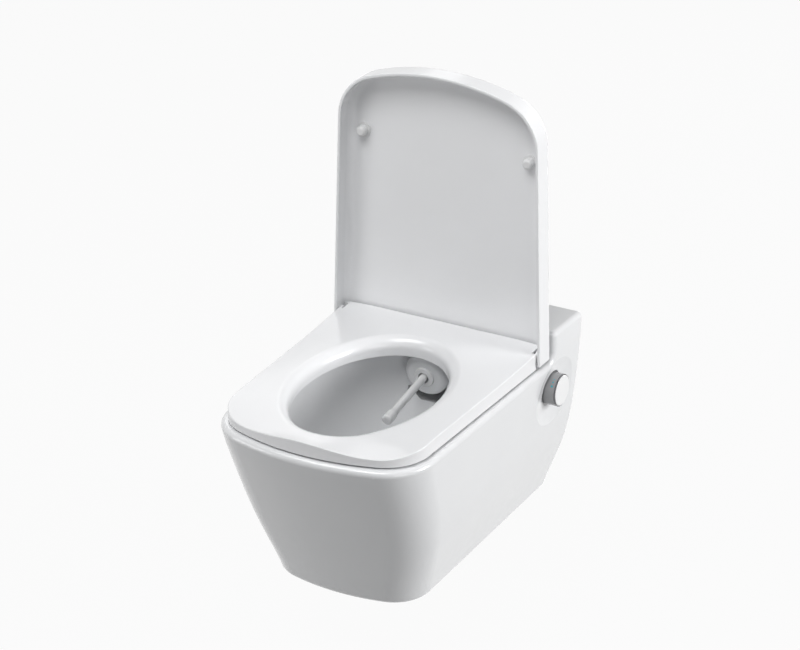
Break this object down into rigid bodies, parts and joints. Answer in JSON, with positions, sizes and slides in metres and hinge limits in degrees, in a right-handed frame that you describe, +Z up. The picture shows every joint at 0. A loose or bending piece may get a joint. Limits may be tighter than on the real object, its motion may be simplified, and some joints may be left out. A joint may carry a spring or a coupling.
{
  "type": "wall hung bidet toilet",
  "caption": "Wall hung toilet bowl with an upright lid, a waved seat, a sliding spray arm and two round side knobs.",
  "frame": {"origin": "on the wall face, midway between the two fixing bolts", "axes": "+Z up, +Y into the wall, +X towards the side with the flow knob"},
  "size_m": [0.386, 0.5416, 0.7137],
  "materials": {
    "glazed_ceramic": "gloss white glaze",
    "seat_plastic": "gloss white thermoset",
    "knob_plastic": "gloss white",
    "mouth_plastic": "satin white",
    "sleeve_plastic": "matte",
    "damper_plastic": "matte",
    "bumper_rubber": "soft white",
    "seal_rubber": "matte black",
    "steel": "stainless",
    "chrome": "polished",
    "brass": "machined",
    "braided_hose": "steel braid over rubber"
  },
  "bodies": {
    "root": {"ceramic_body": "glazed_ceramic", "flush_inlet_seal": "seal_rubber", "waste_outlet_seal": "seal_rubber", "wall_fixing_sleeves": "sleeve_plastic", "wall_fixing_washers": "steel", "wall_fixing_nuts": "steel", "hinge_studs": "steel", "hinge_washers": "seal_rubber", "hinge_nuts": "sleeve_plastic", "hinge_blocks": "chrome", "hinge_shafts": "steel", "spray_guide": "sleeve_plastic", "spray_guide_gasket": "seal_rubber", "spray_end_cap": "sleeve_plastic", "spray_mouth_ring": "mouth_plastic", "return_spring": "steel", "mixer_body": "brass", "flow_valve_body": "brass", "thermostatic_cartridge": "sleeve_plastic", "flow_cartridge": "sleeve_plastic", "valve_gaskets": "seal_rubber", "valve_lock_nuts": "brass", "valve_plugs": "brass", "hot_hose": "braided_hose", "cold_hose": "braided_hose", "mixed_hose": "braided_hose", "spray_feed_hose": "braided_hose", "hose_unions": "brass", "supply_nipples": "brass"},
    "lid": {"lid": "seat_plastic", "lid_bumpers": "bumper_rubber", "lid_dampers": "damper_plastic"},
    "seat": {"seat": "seat_plastic", "seat_bumpers": "bumper_rubber", "seat_dampers": "damper_plastic"},
    "spray_arm": {"spray_arm": "mouth_plastic", "nozzle_head": "mouth_plastic", "piston": "sleeve_plastic", "piston_seal": "seal_rubber", "spring_anchor_pin": "steel"},
    "flow_knob": {"flow_knob": "knob_plastic", "flow_knob_ring": "chrome", "flow_knob_cap": "knob_plastic", "flow_spindle": "brass"},
    "temperature_knob": {"temperature_knob": "knob_plastic", "temperature_knob_ring": "chrome", "temperature_knob_cap": "knob_plastic", "temperature_spindle": "brass"}
  },
  "joints": [
    {"name": "lid_hinge", "type": "hinge", "parent": "root", "child": "lid", "pos_m": [0, -0.11985, 0.11425], "axis": [-1, 0, 0], "range_deg": [-90, 0]},
    {"name": "seat_hinge", "type": "hinge", "parent": "root", "child": "seat", "pos_m": [0, -0.11985, 0.11425], "axis": [-1, 0, 0], "range_deg": [0, 90]},
    {"name": "spray_slide", "type": "slide", "parent": "root", "child": "spray_arm", "axis": [0, -0.9845, -0.1754], "range_m": [-0.118, 0], "deforming": ["return_spring"]},
    {"name": "flow_knob_turn", "type": "hinge", "parent": "root", "child": "flow_knob", "pos_m": [0.18, -0.079, 0.045], "axis": [1, 0, 0], "range_deg": [0, 120]},
    {"name": "temperature_knob_turn", "type": "hinge", "parent": "root", "child": "temperature_knob", "pos_m": [-0.18, -0.079, 0.045], "axis": [-1, 0, 0], "range_deg": [-60, 60]}
  ]
}
